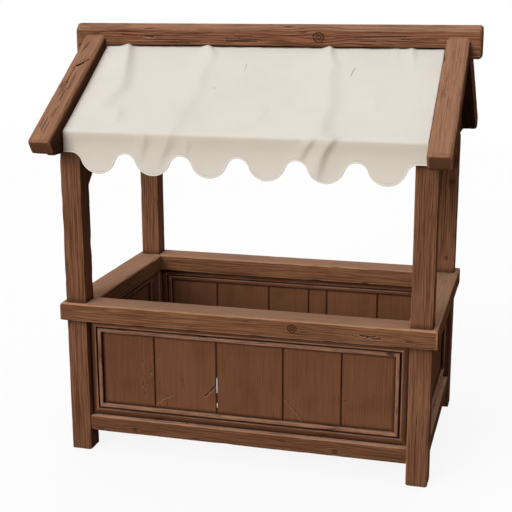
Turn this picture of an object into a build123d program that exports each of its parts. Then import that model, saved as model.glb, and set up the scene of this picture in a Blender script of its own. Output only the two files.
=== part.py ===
from build123d import *
import os
from math import atan, cos, radians, sin, tan

# Wooden market stall. Four posts carry a mitred ring of counter boards over panelled
# sides. A tie beam, two knee braces and two pairs of rafters at each end carry the ridge
# beam, and a canvas sheet with a scalloped valance covers each slope of the roof.
# Lengths are in millimetres. X runs along the front, the front faces -Y and Z is up.
# The origin lies on the ground, in the middle of the four posts.

# Posts, measured over their outer faces
stall_width = 2200.0
stall_depth = 1400.0
post_size = 125.0
post_height = 1865.0
post_bevel = 10.0

# Counter boards, mitred at the corners and notched round the posts
counter_height = 950.0
counter_thickness = 110.0
counter_width = 180.0
counter_overhang = 30.0
counter_bevel = 12.0

# Bottom rails between the posts
bottom_rail_lift = 130.0
bottom_rail_height = 95.0
bottom_rail_setback = 10.0
bottom_rail_bevel = 8.0

# Panels: boards held in the slot of a frame that is moulded alike on both faces
board_thickness = 18.0
slot_depth = 14.0
strip_width = 44.0
strip_edge_thickness = 28.0
strip_thickness = 54.0
groove_width = 10.0
groove_depth = 12.0
bead_width = 24.0
bead_shoulder_thickness = 50.0
bead_crown = 7.0

# Rafters, which bear on the tie beams and reach past the posts to the front and the side
roof_pitch = 32.6
rafter_width = 136.0
rafter_depth = 103.0
rafter_bevel = 10.0
rafter_bearing_width = 46.0
tail_reach = 176.0

# Ridge beam, between the upper ends of the rafters and past their outer faces
ridge_overhang = 65.0
ridge_thickness = 130.0
ridge_height = 191.0
ridge_rise = 71.0
ridge_chamfer = 38.0
ridge_bevel = 16.0

# Tie beams along the two ends, and the knee braces under them
tie_height = 105.0
tie_bevel = 8.0
tie_nose_height = 10.0
tie_shoulder_gap = 4.0
brace_drop = 215.0
brace_depth = 90.0
brace_bevel = 8.0
brace_angle = 45.0

# Canvas sheets, between the rafters and below their upper faces
canvas_thickness = 6.0
canvas_drop = 60.0
canvas_side_gap = 8.0
fold_reach = 55.0
seat_gap = 0.3

# Valance: short at its ends and between the lobes, longest at the middle of a lobe
valance_short_drop = 118.0
valance_long_drop = 237.0
valance_end_width = 47.0
lobe_count = 6
lobe_radius_share = 0.6

# Eave rails, which carry the fold of the canvas from rafter to rafter
eave_rail_depth = 40.0
eave_rail_height = 45.0

# Places worked out from the sizes above
slope = radians(roof_pitch)
panel_bottom = bottom_rail_lift + bottom_rail_height
panel_height = counter_height - counter_thickness - panel_bottom
frame_width = strip_width + groove_width + bead_width
bead_thickness = bead_shoulder_thickness + 2 * bead_crown
post_x = (stall_width - post_size) / 2
post_y = (stall_depth - post_size) / 2
rafter_inner_x = stall_width / 2 - rafter_bearing_width
rafter_x = rafter_inner_x + rafter_width / 2
tail_y = stall_depth / 2 + tail_reach
ridge_face_y = ridge_thickness / 2
rafter_run = tail_y - ridge_face_y
rafter_top_at_ridge = post_height + rafter_run * tan(slope) + rafter_depth / cos(slope)
ridge_top = rafter_top_at_ridge + ridge_rise
ridge_length = 2 * (rafter_inner_x + rafter_width + ridge_overhang)
fold_y = stall_depth / 2 + fold_reach
valance_back_y = fold_y - canvas_thickness
rail_front_y = valance_back_y - seat_gap
rail_back_y = rail_front_y - eave_rail_depth
canvas_half_width = rafter_inner_x - canvas_side_gap

# The four sides, each a quarter turn on from the one before
side_names = ("front", "right", "back", "left")
quarter_turn_angle = 90.0


def rafter_underside(y):
    """Height of the rafters' lower plane at a distance y from the ridge line."""
    return post_height + (tail_y - y) * tan(slope)


def canvas_surface(y):
    """Height of the canvas sheet's upper face at a distance y from the ridge line."""
    return rafter_underside(y) + (rafter_depth - canvas_drop) / cos(slope)


def canvas_underside(y):
    """Height of the canvas sheet's lower face at a distance y from the ridge line."""
    return canvas_surface(y) - canvas_thickness / cos(slope)


def bevelled_section(width, height, bevel, upper_bevel=None):
    """Rectangle with its corners cut off, the upper ones wider if asked, centred on its plane."""
    x, y = width / 2, height / 2
    upper = bevel if upper_bevel is None else upper_bevel
    upper_corners = ((x, y - upper), (x - upper, y), (upper - x, y), (-x, y - upper))
    lower_corners = ((-x, bevel - y), (bevel - x, -y), (x - bevel, -y), (x, bevel - y))
    return Polygon(*upper_corners, *lower_corners, align=None)


def profile_along_x(points, half_length):
    """Prism along X, centred, from points (y, z) of its outline."""
    return extrude(Plane.YZ * Polygon(*points, align=None), half_length, both=True)


def side_length(side_index):
    """Length of a side over its two posts."""
    return stall_depth if side_index % 2 else stall_width


def on_side(side_index, piece):
    """Turn a piece to its side: locally it runs along X with the post faces at y = 0."""
    opposite_distance = side_length(side_index + 1)
    return Rot(0, 0, side_index * quarter_turn_angle) * Pos(0, -opposite_distance / 2, 0) * piece


def post(x_sign, y_sign):
    """Square post with bevelled edges, from the ground to the tie beam."""
    foot = Pos(x_sign * post_x, y_sign * post_y) * bevelled_section(post_size, post_size, post_bevel)
    return extrude(foot, post_height)


def counter_board(length):
    """Counter board with mitred ends and the notches that fit round its two posts."""
    half = length / 2 + counter_overhang
    middle_z = counter_height - counter_thickness / 2
    inner_y = counter_width - counter_overhang
    section = bevelled_section(counter_width, counter_thickness, counter_bevel)
    middle_y = inner_y - counter_width / 2
    board = Pos(0, middle_y, middle_z) * extrude(Plane.YZ * section, half, both=True)
    shoulder = half - counter_width
    outer_edge = ((-half, -counter_overhang), (half, -counter_overhang))
    inner_edge = ((shoulder, inner_y), (-shoulder, inner_y))
    board &= extrude(Polygon(*outer_edge, *inner_edge, align=None), counter_height)
    for x_sign in (-1, 1):
        notch = Box(post_size, post_size, 2 * counter_thickness)
        board -= Pos(x_sign * (length - post_size) / 2, post_size / 2, middle_z) * notch
    return board


def bottom_rail(length):
    """Rail that fits between two posts, a little behind their faces."""
    depth = post_size - 2 * bottom_rail_setback
    section = bevelled_section(depth, bottom_rail_height, bottom_rail_bevel)
    rail = extrude(Plane.YZ * section, length / 2 - post_size, both=True)
    return Pos(0, post_size / 2, bottom_rail_lift + bottom_rail_height / 2) * rail


def frame_section():
    """Section of the panel frame: sloping strip, groove, round bead and board slot."""
    groove_end = strip_width + groove_width
    bead_middle = groove_end + bead_width / 2
    slot_end = frame_width - slot_depth
    groove_floor = strip_thickness / 2 - groove_depth
    face = (
        (0, strip_edge_thickness / 2),
        (strip_width, strip_thickness / 2),
        (strip_width, groove_floor),
        (groove_end, groove_floor),
        (groove_end, bead_shoulder_thickness / 2),
    )
    slot = (
        (frame_width, bead_shoulder_thickness / 2),
        (frame_width, board_thickness / 2),
        (slot_end, board_thickness / 2),
        (slot_end, -board_thickness / 2),
        (frame_width, -board_thickness / 2),
        (frame_width, -bead_shoulder_thickness / 2),
    )
    back_face = tuple((u, -v) for u, v in reversed(face))
    front_bead = ThreePointArc(face[-1], (bead_middle, bead_thickness / 2), slot[0])
    back_bead = ThreePointArc(slot[-1], (bead_middle, -bead_thickness / 2), back_face[0])
    edges = Polyline(*face) + front_bead + Polyline(*slot) + back_bead + Polyline(*back_face)
    return make_face(edges + Line(back_face[-1], face[0]))


def mitred(member, outline):
    """Cut a frame member to the outline (x, z) that its mitres leave."""
    return member & extrude(Plane.XZ * Polygon(*outline, align=None), bead_thickness, both=True)


def in_panel_place(piece):
    """Stand a panel piece on the bottom rail, on the middle line of the posts."""
    return Pos(0, post_size / 2, panel_bottom) * piece


def panel_boards(length):
    """Field of upright boards, with its edges in the slots of the frame."""
    cover = 2 * (frame_width - slot_depth)
    width = length - 2 * post_size - cover
    field = Box(width, board_thickness, panel_height - cover)
    return in_panel_place(Pos(0, 0, panel_height / 2) * field)


def panel_stiles(length):
    """The two upright members of a panel frame."""
    edge = length / 2 - post_size
    inner = edge - frame_width
    foot = Plane(origin=(-edge, 0, 0), x_dir=(1, 0, 0), z_dir=(0, 0, 1))
    stile = extrude(foot * frame_section(), panel_height)
    long_edge = ((-edge, panel_height), (-edge, 0))
    short_edge = ((-inner, frame_width), (-inner, panel_height - frame_width))
    stile = mitred(stile, long_edge + short_edge)
    return in_panel_place(stile + mirror(stile, about=Plane.YZ))


def panel_rails(length):
    """The lower and upper members of a panel frame."""
    edge = length / 2 - post_size
    inner = edge - frame_width
    end = Plane(origin=(-edge, 0, 0), x_dir=(0, 0, 1), z_dir=(1, 0, 0))
    rail = extrude(end * frame_section(), 2 * edge)
    rail = mitred(rail, ((-edge, 0), (edge, 0), (inner, frame_width), (-inner, frame_width)))
    return in_panel_place(rail + mirror(rail, about=Plane.XY.offset(panel_height / 2)))


def rafter(x_sign):
    """Front rafter: square cut at the tail and plumb cut on the face of the ridge beam."""
    up_slope = (0, cos(slope), sin(slope))
    tail = Plane(origin=(x_sign * rafter_x, -tail_y, post_height), x_dir=(-1, 0, 0), z_dir=up_slope)
    section = Pos(0, rafter_depth / 2) * bevelled_section(rafter_width, rafter_depth, rafter_bevel)
    length = rafter_run / cos(slope) + rafter_depth * tan(slope)
    bar = extrude(tail * section, length)
    ridge_face = Plane(origin=(0, -ridge_face_y, 0), z_dir=(0, -1, 0))
    return split(bar, bisect_by=ridge_face, keep=Keep.TOP)


def ridge_beam():
    """Ridge beam with wide chamfers along its upper edges, bevelled below and round its ends."""
    end = bevelled_section(ridge_thickness, ridge_height, ridge_bevel, ridge_chamfer)
    face = bevelled_section(ridge_length, ridge_height, ridge_bevel)
    plan = bevelled_section(ridge_length, ridge_thickness, ridge_bevel)
    beam = extrude(Plane.YZ * end, ridge_length, both=True)
    beam &= extrude(Plane.XZ * face, ridge_thickness, both=True)
    beam &= extrude(plan, ridge_height, both=True)
    return Pos(0, 0, ridge_top - ridge_height / 2) * beam


def tie_beam(x_sign):
    """Tie beam on two posts, with noses cut to the slope that carry the rafters' tails."""
    nose_y = tail_y - tie_nose_height / tan(slope)
    section = bevelled_section(post_size, tie_height, tie_bevel)
    beam = Pos(post_x, 0, post_height + tie_height / 2) * extrude(Plane.XZ * section, nose_y, both=True)
    under_rafters = ((-tail_y, post_height), (tail_y, post_height), (0, rafter_underside(0)))
    beam &= profile_along_x(under_rafters, stall_width)
    shoulder_y = rail_back_y - tie_shoulder_gap
    notch = Box(post_size, tail_y - shoulder_y, tie_height, align=(Align.MAX, Align.MIN, Align.MIN))
    notch = Pos(rafter_inner_x, shoulder_y, post_height) * notch
    beam -= notch
    beam -= mirror(notch, about=Plane.XZ)
    return beam if x_sign > 0 else mirror(beam, about=Plane.YZ)


def knee_brace(x_sign):
    """Brace from the inward face of a front post up to the underside of the tie beam."""
    turn = radians(brace_angle)
    foot_y = post_size - stall_depth / 2
    foot_z = post_height - brace_drop
    along = (0, cos(turn), sin(turn))
    foot = Plane(origin=(x_sign * post_x, foot_y, foot_z), x_dir=(-1, 0, 0), z_dir=along)
    section = Pos(0, brace_depth / 2) * bevelled_section(post_size, brace_depth, brace_bevel)
    bar = extrude(foot * section, (brace_drop + brace_depth) / sin(turn), both=True)
    outline = ((foot_y, 0), (tail_y, 0), (tail_y, post_height), (foot_y, post_height))
    return bar & profile_along_x(outline, stall_width)


def canopy():
    """Canvas sheet of the front slope, from the ridge beam to its fold at the eave."""
    top_y = ridge_face_y + seat_gap
    outline = (
        (-top_y, canvas_surface(top_y)),
        (-top_y, canvas_underside(top_y)),
        (-valance_back_y, canvas_underside(valance_back_y)),
        (-valance_back_y, canvas_surface(valance_back_y)),
    )
    return profile_along_x(outline, canvas_half_width)


def valance():
    """Canvas strip that hangs from the fold, its lower edge a row of round lobes."""
    top = canvas_surface(fold_y)
    short_z = top - valance_short_drop
    long_z = top - valance_long_drop
    end_x = canvas_half_width - valance_end_width
    lobe_pitch = 2 * end_x / lobe_count
    turn = 2 * atan(2 * (short_z - long_z) / lobe_pitch)
    radii = lobe_pitch / (2 * sin(turn))
    lobe_radius = radii * lobe_radius_share
    join_x = lobe_radius * sin(turn)
    join_z = long_z + lobe_radius * (1 - cos(turn))
    gap_radius = radii - lobe_radius
    halfway_x = gap_radius * sin(turn / 2)
    halfway_z = short_z - gap_radius * (1 - cos(turn / 2))
    edges = Polyline(
        (-end_x, short_z), (-canvas_half_width, short_z), (-canvas_half_width, top),
        (canvas_half_width, top), (canvas_half_width, short_z), (end_x, short_z),
    )
    for index in range(lobe_count):
        middle = lobe_pitch * (index + 1 / 2) - end_x
        edges += ThreePointArc((middle - join_x, join_z), (middle, long_z), (middle + join_x, join_z))
        for x_sign in (-1, 1):
            gap_x = middle + x_sign * lobe_pitch / 2
            join = (middle + x_sign * join_x, join_z)
            edges += ThreePointArc(join, (gap_x - x_sign * halfway_x, halfway_z), (gap_x, short_z))
    face = Plane(origin=(0, -valance_back_y, 0), x_dir=(1, 0, 0), z_dir=(0, -1, 0))
    return extrude(face * make_face(edges), canvas_thickness)


def eave_rail():
    """Rail behind the front valance, its top planed to the slope of the canvas."""
    rise = seat_gap / cos(slope)
    bottom = canvas_underside(rail_front_y) - rise - eave_rail_height
    outline = (
        (-rail_front_y, canvas_underside(rail_front_y) - rise),
        (-rail_back_y, canvas_underside(rail_back_y) - rise),
        (-rail_back_y, bottom),
        (-rail_front_y, bottom),
    )
    return profile_along_x(outline, rafter_inner_x)


def build_nodes():
    """All pieces of the stall by name."""
    nodes = {}
    for side_index, side in enumerate(side_names):
        length = side_length(side_index)
        nodes[f"counter_{side}"] = on_side(side_index, counter_board(length))
        nodes[f"bottom_rail_{side}"] = on_side(side_index, bottom_rail(length))
        nodes[f"panel_boards_{side}"] = on_side(side_index, panel_boards(length))
        nodes[f"panel_stiles_{side}"] = on_side(side_index, panel_stiles(length))
        nodes[f"panel_rails_{side}"] = on_side(side_index, panel_rails(length))
    front_pieces = {"eave_rail_front": eave_rail(), "canopy_front": canopy(), "valance_front": valance()}
    for x_name, x_sign in (("left", -1), ("right", 1)):
        nodes[f"post_front_{x_name}"] = post(x_sign, -1)
        nodes[f"post_back_{x_name}"] = post(x_sign, 1)
        nodes[f"tie_beam_{x_name}"] = tie_beam(x_sign)
        front_pieces[f"rafter_front_{x_name}"] = rafter(x_sign)
        front_pieces[f"knee_brace_front_{x_name}"] = knee_brace(x_sign)
    for name, piece in front_pieces.items():
        nodes[name] = piece
        nodes[name.replace("front", "back")] = mirror(piece, about=Plane.XZ)
    nodes["ridge_beam"] = ridge_beam()
    return nodes


os.makedirs("parts", exist_ok=True)
for node_name, shape in build_nodes().items():
    export_step(shape, f"parts/{node_name}.step")
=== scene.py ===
import bmesh
import bpy
from functools import cache
from itertools import count
from math import atan, cos, exp, pi, radians, sin, tan
from mathutils import Matrix, Vector, noise
from random import Random


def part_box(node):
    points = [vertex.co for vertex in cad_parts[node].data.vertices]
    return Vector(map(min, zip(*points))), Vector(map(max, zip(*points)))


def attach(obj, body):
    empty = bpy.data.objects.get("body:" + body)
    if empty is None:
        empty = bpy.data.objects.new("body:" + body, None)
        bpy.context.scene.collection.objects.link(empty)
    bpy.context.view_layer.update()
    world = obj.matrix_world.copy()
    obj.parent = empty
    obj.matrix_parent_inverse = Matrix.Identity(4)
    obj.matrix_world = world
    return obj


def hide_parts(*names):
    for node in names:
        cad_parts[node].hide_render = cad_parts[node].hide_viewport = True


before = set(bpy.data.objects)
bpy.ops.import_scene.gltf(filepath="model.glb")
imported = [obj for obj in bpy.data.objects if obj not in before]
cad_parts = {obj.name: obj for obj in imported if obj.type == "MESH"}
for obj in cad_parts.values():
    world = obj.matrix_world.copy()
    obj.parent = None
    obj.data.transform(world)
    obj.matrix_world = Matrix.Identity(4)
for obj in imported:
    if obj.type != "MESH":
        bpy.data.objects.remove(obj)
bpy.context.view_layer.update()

# Posts
# Four square posts of sawn pine in a red-brown stain, which stand on the ground and carry
# the tie beams. Their arrises were eased with a plane and have worn pale and ragged since.

post_arris = 0.006
post_cells = (0.020, 0.0125)
# Painted shade on the posts where they meet the counter: its reach and strength
post_shade_reach = 0.035
post_shade_share = 0.75
counter_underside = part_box("counter_front")[0].z
counter_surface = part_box("counter_front")[1].z
post_knots = {"post_back_right": [(1.064, 0.575, 1.559), (1.046, 0.575, 1.049)]}
# Colour of checks, knots, dark end grain and blotches, and of painted shade in corners, grooves and seams
dark_marks_and_shade = "22130C"
timber_numbers = count(1)
worn_crease = radians(28)
sharp_crease = radians(42)
splinter_stretch = Vector((11, 34, 34))
splinter_start = 0.15
splinter_share = 2.0
chafe_stretch = Vector((3, 9, 9))
chafe_share = 0.35
bow_stretch = 1.3
far_away = (9.0, 9.0, 9.0)
hair = 1e-6


def rectangle(length, width):
    """Corners of a rectangle about the origin, its length along X."""
    x, y = length / 2, width / 2
    return [(-x, -y), (x, -y), (x, y), (-x, y)]


def prism(outline, thickness):
    """Solid of an outline (x, y), its thickness along Z and centred there."""
    solid = bmesh.new()
    face = solid.faces.new([solid.verts.new((x, y, -thickness / 2)) for x, y in outline])
    grown = bmesh.ops.extrude_face_region(solid, geom=[face])["geom"]
    far_side = [item for item in grown if isinstance(item, bmesh.types.BMVert)]
    bmesh.ops.translate(solid, verts=far_side, vec=(0, 0, thickness))
    bmesh.ops.recalc_face_normals(solid, faces=solid.faces)
    return solid


def ease_arrises(solid, radius, edges=None, segments=3):
    """Round off edges of a timber, all its sharp ones if none are named."""
    if edges is None:
        edges = [edge for edge in solid.edges if edge.calc_face_angle(0.0) > worn_crease]
    bmesh.ops.bevel(solid, geom=edges, offset=radius, offset_type="OFFSET", segments=segments,
                    profile=0.5, affect="EDGES", material=-1, clamp_overlap=True)


def saw(solid, point, normal, fill=True):
    """Saw off what lies beyond a plane, and close the cut."""
    everything = solid.verts[:] + solid.edges[:] + solid.faces[:]
    cut = bmesh.ops.bisect_plane(solid, geom=everything, plane_co=point, plane_no=normal,
                                 dist=hair, clear_outer=fill)["geom_cut"]
    if fill:
        rim = [item for item in cut if isinstance(item, bmesh.types.BMEdge)]
        bmesh.ops.edgeloop_fill(solid, edges=rim)
        bmesh.ops.recalc_face_normals(solid, faces=solid.faces)


def cut_into_cells(solid, along, across):
    """Divide a timber's faces by even slices, so that its surface can be worn."""
    for axis, cell in ((1, across), (2, across), (0, along)):
        places = [vert.co[axis] for vert in solid.verts]
        low, high = min(places), max(places)
        slices = max(1, round((high - low) / cell))
        normal = Vector((axis == 0, axis == 1, axis == 2))
        for step in range(1, slices):
            saw(solid, normal * (low + (high - low) * step / slices), normal, fill=False)


def axes(grain, face, origin):
    """Placement that turns local X to the grain and local Z to a face's direction."""
    x, z = Vector(grain).normalized(), Vector(face).normalized()
    turned = Matrix((x, z.cross(x), z)).transposed()
    return Matrix.Translation(origin) @ turned.to_4x4()


def weather(solid, place, wear=0.004, bow=0.001, knots=(), knot_size=1.0, soil=None, highlight=None):
    """Wear a timber's arrises, bow it a little, and note for the finish its grain, knots, painted shade and
    dirt, and painted highlights.
    """
    draw = Random(next(timber_numbers))
    pith = Vector((draw.uniform(-6, 6), draw.uniform(-0.08, 0.08), draw.uniform(-0.15, -0.07)))
    shift = Vector((draw.uniform(-40, 40), draw.uniform(-40, 40), draw.uniform(-40, 40)))
    piece_tone = draw.random()
    layers = solid.verts.layers
    for name in ("grain", "knot_a", "knot_b"):
        layers.float_vector.new(name)
    for name in ("arris", "tone", "soil", "end"):
        layers.float.new(name)
    grain, knot_a, knot_b = [layers.float_vector[name] for name in ("grain", "knot_a", "knot_b")]
    arris, tone, soiled, end = [layers.float[name] for name in ("arris", "tone", "soil", "end")]
    to_timber = place.inverted()
    centres = [to_timber @ Vector(knot) for knot in knots]
    half_length = max(abs(vert.co.x) for vert in solid.verts)
    solid.normal_update()
    sharpest = [max(edge.calc_face_angle(0.0) for edge in vert.link_edges) for vert in solid.verts]
    for vert, angle in zip(solid.verts, sharpest):
        co = vert.co.copy()
        worn = min(1.0, angle / worn_crease)
        vert[grain] = co - pith
        # Arrises worn pale, and painted highlights where a highlight function is given
        vert[arris] = max(worn, highlight(co)) if highlight else worn
        vert[tone] = piece_tone
        vert[end] = abs(vert.normal.x)
        vert[soiled] = soil(co) if soil else 0.0
        vert[knot_a] = (co - centres[0]) / knot_size if centres else far_away
        vert[knot_b] = (co - centres[1]) / knot_size if len(centres) > 1 else far_away
        splinter = noise.noise(co * splinter_stretch + shift)
        chafe = noise.noise(co * chafe_stretch - shift)
        bite = splinter_share * max(0.0, splinter - splinter_start) + chafe_share * max(0.0, chafe)
        slack = bow * (1 - (co.x / half_length) ** 2)
        lean = [noise.noise(Vector((co.x * bow_stretch, row, 0)) + shift) for row in (3.1, 7.7)]
        vert.co = co - vert.normal * (worn * wear * bite) + Vector((0, *lean)) * slack


def add_object(name, data):
    """Object for a mesh, a curve, a lamp or a camera, linked to the scene."""
    item = bpy.data.objects.new(name, data)
    bpy.context.collection.objects.link(item)
    return item


def place_piece(solids, place, name, finish, node):
    """Put finished solids in their place as one piece that stands for its node."""
    whole = bmesh.new()
    for solid in solids:
        part = bpy.data.meshes.new("part")
        solid.to_mesh(part)
        solid.free()
        whole.from_mesh(part)
        bpy.data.meshes.remove(part)
    whole.transform(place)
    whole.normal_update()
    for edge in whole.edges:
        edge.smooth = edge.calc_face_angle(0.0) < sharp_crease
    for face in whole.faces:
        face.smooth = True
    mesh = bpy.data.meshes.new(name)
    whole.to_mesh(mesh)
    whole.free()
    mesh.materials.append(finish)
    piece = add_object(name, mesh)
    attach(piece, "root")
    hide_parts(node)


def set_timber(timber, cells, place, node, finish, slot, **weathering):
    """Divide a timber into cells along and across it, weather it, and put it in its node's place."""
    cut_into_cells(timber, *cells)
    weather(timber, place, **weathering)
    place_piece([timber], place, f"{node}_timber", finish, node)


def colour(code):
    """Colour of a paint-card code such as 6A4632, in the linear values that shaders take."""
    shares = [int(code[start:start + 2], 16) / 255 for start in (0, 2, 4)]
    linear = [share / 12.92 if share <= 0.04045 else ((share + 0.055) / 1.055) ** 2.4 for share in shares]
    return (*linear, 1.0)


def add_node(tree, kind, inputs=None, **settings):
    """Add a shader node with its settings, its inputs linked or set."""
    node = tree.nodes.new(kind)
    for name, value in settings.items():
        setattr(node, name, value)
    for name, value in (inputs or {}).items():
        if isinstance(value, bpy.types.NodeSocket):
            tree.links.new(value, node.inputs[name])
        else:
            node.inputs[name].default_value = value
    return node


def calculate(tree, operation, *values, clamp=False):
    """Output of a Math node."""
    return add_node(tree, "ShaderNodeMath", dict(enumerate(values)),
                    operation=operation, use_clamp=clamp).outputs[0]


def vectors(tree, operation, *values, output="Vector"):
    """Output of a Vector Math node."""
    inputs = dict(enumerate(values))
    return add_node(tree, "ShaderNodeVectorMath", inputs, operation=operation).outputs[output]


def scaled(tree, vector, factor):
    """A vector times a number."""
    inputs = {0: vector, "Scale": factor}
    return add_node(tree, "ShaderNodeVectorMath", inputs, operation="SCALE").outputs["Vector"]


def component(tree, vector, axis):
    """One coordinate of a vector."""
    return add_node(tree, "ShaderNodeSeparateXYZ", {"Vector": vector}).outputs[axis]


def ramp(tree, value, low, high, start=0.0, end=1.0):
    """A value eased from start to end while it goes from low to high."""
    inputs = {"Value": value, "From Min": low, "From Max": high, "To Min": start, "To Max": end}
    return add_node(tree, "ShaderNodeMapRange", inputs, interpolation_type="SMOOTHSTEP").outputs["Result"]


def blended(tree, share, first, second, blend="MIX"):
    """Colour output of a Mix node."""
    inputs = {0: share, 6: first, 7: second}
    return add_node(tree, "ShaderNodeMix", inputs, data_type="RGBA", blend_type=blend).outputs[2]


def layered(tree, base, *layers):
    """A colour with others laid over it in turn, each given as a mask and a code."""
    for mask, code in layers:
        base = blended(tree, mask, base, colour(code))
    return base


def streaked_noise(tree, point, stretch, detail=2.0, rough=0.55):
    """Noise that is drawn out by a different amount along each axis."""
    drawn = vectors(tree, "MULTIPLY", point, stretch)
    inputs = {"Vector": drawn, "Scale": 1.0, "Detail": detail, "Roughness": rough}
    return add_node(tree, "ShaderNodeTexNoise", inputs).outputs["Fac"]


def attribute(tree, name, output):
    """Output of a surface attribute that the mesh carries."""
    return add_node(tree, "ShaderNodeAttribute", attribute_name=name).outputs[output]


def new_group(name, inputs, outputs):
    """Empty shader group with named sockets, and its two ends."""
    tree = bpy.data.node_groups.new(name, "ShaderNodeTree")
    for sockets, in_out in ((inputs, "INPUT"), (outputs, "OUTPUT")):
        for socket, kind in sockets.items():
            tree.interface.new_socket(socket, in_out=in_out, socket_type=kind)
    return tree, tree.nodes.new("NodeGroupInput").outputs, tree.nodes.new("NodeGroupOutput").inputs


def new_material(name):
    """Plain finish, with its node tree and its shader."""
    material = bpy.data.materials.new(name)
    material.use_nodes = True
    return material, material.node_tree, material.node_tree.nodes.get("Principled BSDF")


def make_timber_figure():
    """Grain of a sawn timber: growth rings, streaks, fibres, drying checks and two knots."""
    knot_reach, knot_push = 0.075, -0.013
    knot_core, knot_rim = 0.0125, 0.0155
    ring_rate, ring_phase = 900.0, -9.41
    check_stretch, lip_aside = (2.2, 62.0, 0.0), 0.0026
    vector, value = "NodeSocketVector", "NodeSocketFloat"
    sockets = {"Grain": vector, "Knot A": vector, "Knot B": vector, "Contrast": value, "Checks": value}
    results = dict.fromkeys(("Tone", "Dark", "Lip", "Height"), value)
    tree, given, gives = new_group("timber_figure", sockets, results)
    flow, near, knot_body = given["Grain"], 0.0, 0.0
    for knot in ("Knot A", "Knot B"):
        offset = vectors(tree, "MULTIPLY", given[knot], (0.9, 1.0, 1.0))
        distance = vectors(tree, "LENGTH", offset, output="Value")
        ragged = streaked_noise(tree, given[knot], (70.0, 110.0, 110.0), 3.0)
        distance = calculate(tree, "ADD", distance, calculate(tree, "MULTIPLY_ADD", ragged, 0.010, -0.005))
        pull = ramp(tree, distance, 0.0, knot_reach, 1.0, 0.0)
        aside = vectors(tree, "NORMALIZE", vectors(tree, "MULTIPLY", given[knot], (0.0, 1.0, 1.0)))
        push = scaled(tree, aside, calculate(tree, "MULTIPLY", pull, knot_push))
        flow = vectors(tree, "ADD", flow, push)
        near = calculate(tree, "MAXIMUM", near, pull)
        eye = calculate(tree, "SINE", calculate(tree, "MULTIPLY_ADD", distance, ring_rate, ring_phase))
        eye = calculate(tree, "MULTIPLY_ADD", eye, 0.45, 0.50)
        body = calculate(tree, "MULTIPLY", ramp(tree, distance, knot_core, knot_rim, 1.0, 0.0), eye)
        knot_body = calculate(tree, "MAXIMUM", knot_body, body)
    wander = streaked_noise(tree, flow, (1.3, 9.0, 9.0))
    wander = calculate(tree, "MULTIPLY_ADD", wander, 0.016, -0.008)
    sway = add_node(tree, "ShaderNodeCombineXYZ", {"Y": wander, "Z": wander}).outputs[0]
    flow = vectors(tree, "ADD", flow, sway)
    ring_place = vectors(tree, "MULTIPLY", flow, (0.05, 1.0, 1.0))
    ring_inputs = {"Vector": ring_place, "Scale": 22.0, "Distortion": 3.0, "Detail": 2.0, "Detail Scale": 1.5}
    rings = add_node(tree, "ShaderNodeTexWave", ring_inputs, wave_type="RINGS", rings_direction="X")
    round_face = calculate(tree, "ADD", component(tree, flow, "Y"), component(tree, flow, "Z"))
    flat_inputs = {"X": component(tree, flow, "X"), "Y": round_face}
    flat = add_node(tree, "ShaderNodeCombineXYZ", flat_inputs).outputs[0]
    streaks = ramp(tree, streaked_noise(tree, flat, (2.8, 125.0, 0.0), 2.0, 0.50), 0.34, 0.66)
    fibres = streaked_noise(tree, flat, (9.0, 230.0, 0.0), 2.0)
    clouds = streaked_noise(tree, flow, (2.6, 8.0, 8.0), 3.0)
    spread = 0.0
    for part, weight in ((streaks, 0.50), (rings.outputs["Fac"], 0.14), (clouds, 0.5), (fibres, 0.7)):
        share = calculate(tree, "MULTIPLY_ADD", part, weight, -weight / 2)
        spread = calculate(tree, "ADD", spread, share)
    tone = calculate(tree, "MULTIPLY_ADD", spread, given["Contrast"], 0.5, clamp=True)
    opened = streaked_noise(tree, flow, (3.6, 22.0, 22.0))
    opened = calculate(tree, "MULTIPLY_ADD", near, 0.14, opened)
    opened = calculate(tree, "MULTIPLY_ADD", given["Checks"], 0.12, opened)
    opened = ramp(tree, opened, 0.52, 0.74)
    check_lines = []
    for aside in (0.0, lip_aside):
        beside = vectors(tree, "MULTIPLY", vectors(tree, "ADD", flat, (0.0, aside, 0.0)), check_stretch)
        cells = add_node(tree, "ShaderNodeTexVoronoi", {"Vector": beside, "Scale": 1.0},
                         feature="DISTANCE_TO_EDGE", voronoi_dimensions="2D").outputs["Distance"]
        line = ramp(tree, cells, 0.02, 0.09, 1.0, 0.0)
        check_lines.append(calculate(tree, "MULTIPLY", line, opened))
    checks, lips = check_lines
    dark = calculate(tree, "MAXIMUM", checks, knot_body)
    height = calculate(tree, "MULTIPLY_ADD", streaks, 0.6, calculate(tree, "MULTIPLY", fibres, 0.3))
    height = calculate(tree, "SUBTRACT", height, calculate(tree, "MULTIPLY", dark, 0.8))
    for name, result in (("Tone", tone), ("Dark", dark), ("Lip", lips), ("Height", height)):
        tree.links.new(result, gives[name])
    return tree


def make_worn_arris():
    """Ragged mask where the stain has been rubbed off along the arrises."""
    tree, given, gives = new_group("worn_arris", {"Grain": "NodeSocketVector", "Arris": "NodeSocketFloat"},
                                   {"Mask": "NodeSocketFloat"})
    ragged = streaked_noise(tree, given["Grain"], (7.0, 45.0, 45.0), 4.0, 0.65)
    patches = streaked_noise(tree, given["Grain"], (2.2, 10.0, 10.0))
    reach = calculate(tree, "MULTIPLY_ADD", ragged, 0.7, calculate(tree, "MULTIPLY", given["Arris"], 0.80))
    reach = calculate(tree, "MULTIPLY_ADD", patches, 0.4, reach)
    tree.links.new(ramp(tree, reach, 1.02, 1.50), gives["Mask"])
    return tree


timber_figure = make_timber_figure()
worn_arris = make_worn_arris()


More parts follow.
